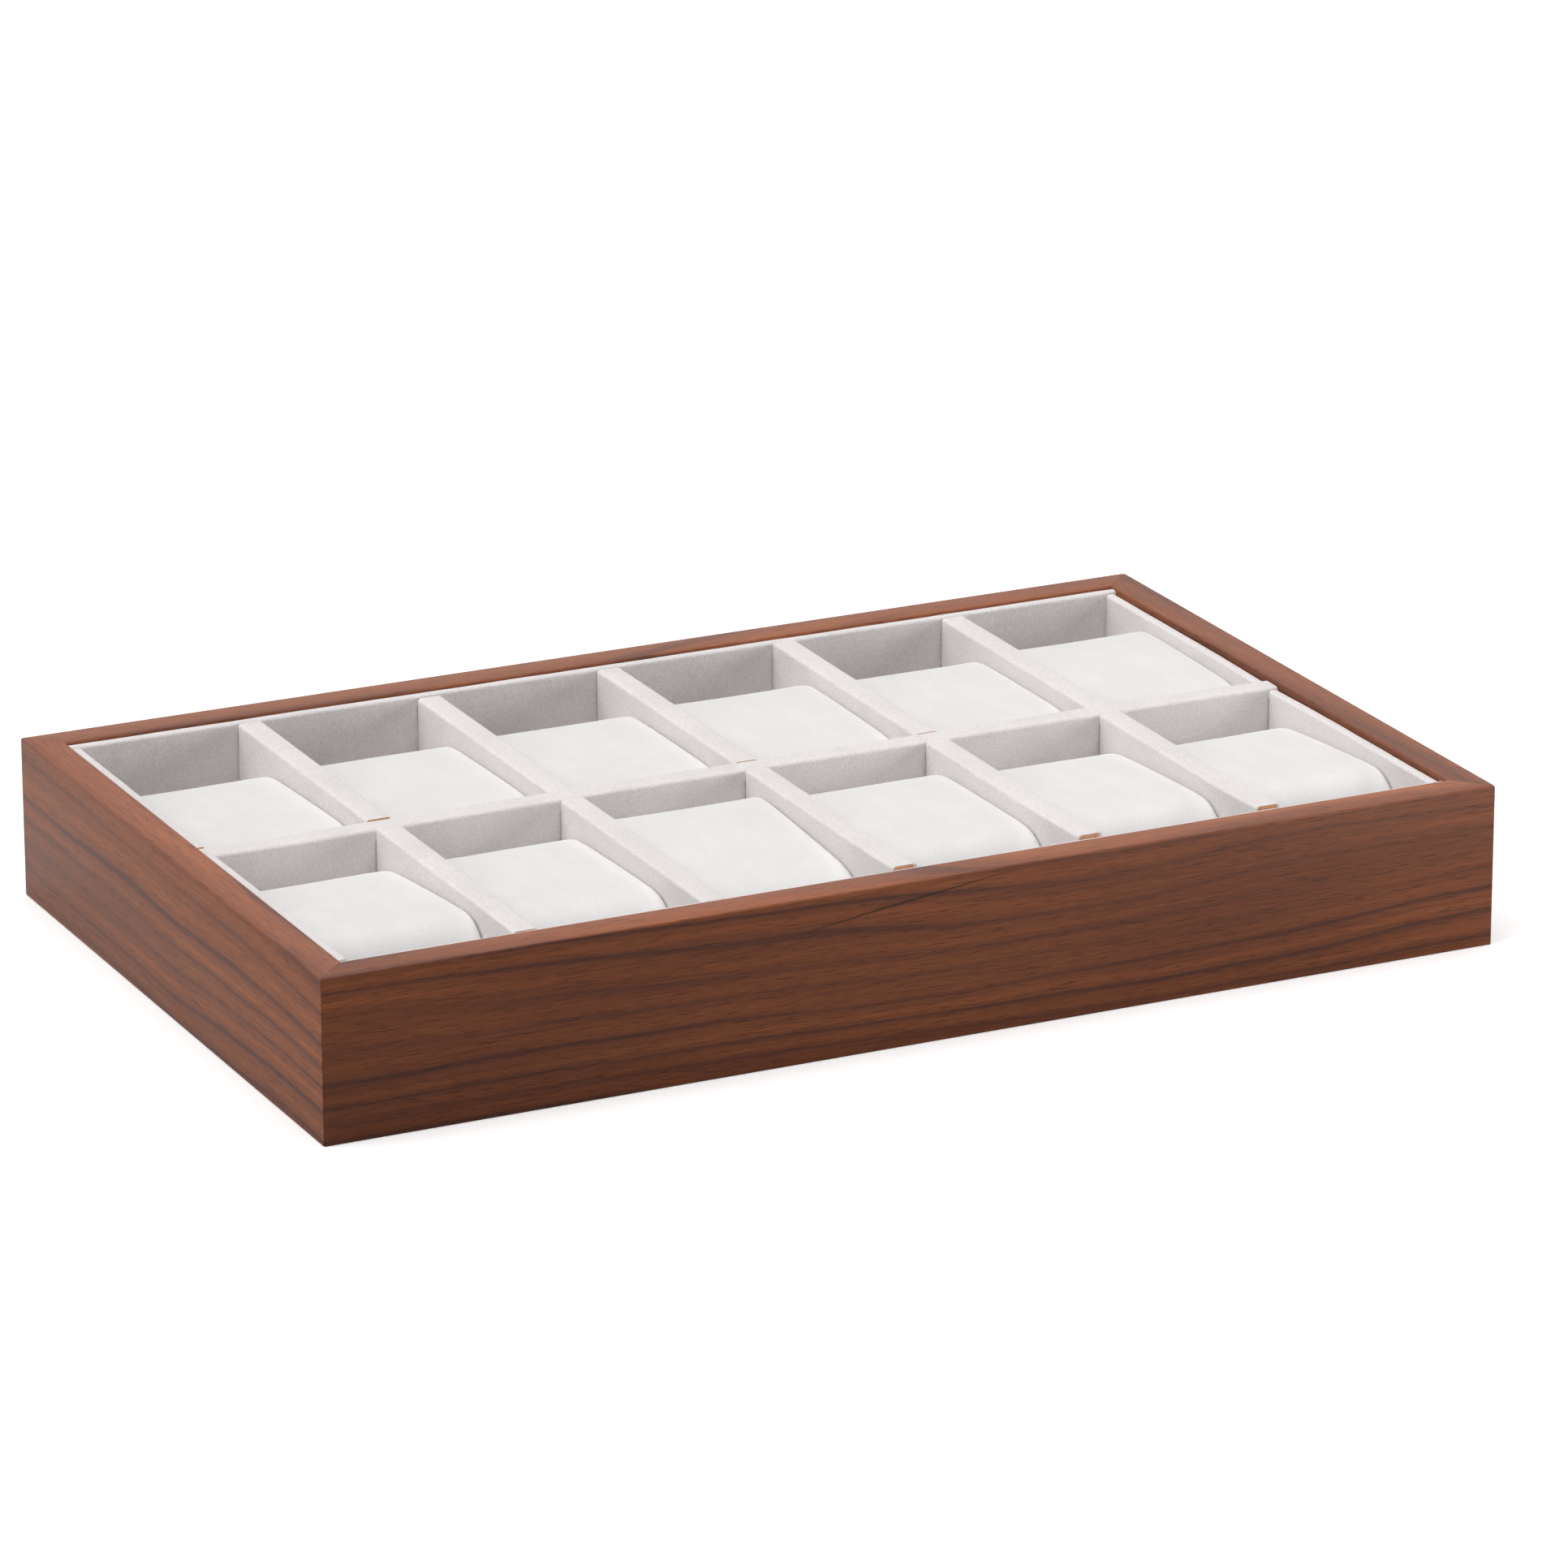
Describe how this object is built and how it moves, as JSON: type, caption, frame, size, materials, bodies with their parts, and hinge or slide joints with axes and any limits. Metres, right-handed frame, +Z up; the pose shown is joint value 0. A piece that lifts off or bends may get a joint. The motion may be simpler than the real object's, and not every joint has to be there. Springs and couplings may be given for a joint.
{
  "type": "watch display tray",
  "caption": "Open rectangular wood tray with mitred sides and velvet-covered dividers, each compartment holding a soft velvet pillow that a watch is strapped round or laid on.",
  "frame": {"origin": "middle of the footprint, on the surface the tray stands on", "axes": "+X along the long side to the right, +Y from the front row to the back row, +Z up"},
  "size_m": [0.3604, 0.2232, 0.048],
  "materials": {
    "walnut_wood": "satin open-grained reddish-brown veneer, grain along each side",
    "bare_fibreboard": "bare brown fibreboard, matt",
    "board_velvet": "short-pile off-white velvet wrapped over boards",
    "pillow_velvet": "short-pile off-white velvet over a soft pillow"
  },
  "bodies": {
    "root": {"side_front": "walnut_wood", "side_back": "walnut_wood", "side_left": "walnut_wood", "side_right": "walnut_wood", "bottom_panel": "bare_fibreboard", "floor_lining": "board_velvet", "liner_front": "board_velvet", "liner_back": "board_velvet", "liner_left": "board_velvet", "liner_right": "board_velvet", "centre_divider": "board_velvet", "cross_divider_1": "board_velvet", "cross_divider_2": "board_velvet", "cross_divider_3": "board_velvet", "cross_divider_4": "board_velvet", "cross_divider_5": "board_velvet", "pillow_front_1": "pillow_velvet", "pillow_front_2": "pillow_velvet", "pillow_front_3": "pillow_velvet", "pillow_front_4": "pillow_velvet", "pillow_front_5": "pillow_velvet", "pillow_front_6": "pillow_velvet", "pillow_back_1": "pillow_velvet", "pillow_back_2": "pillow_velvet", "pillow_back_3": "pillow_velvet", "pillow_back_4": "pillow_velvet", "pillow_back_5": "pillow_velvet", "pillow_back_6": "pillow_velvet"}
  },
  "joints": []
}
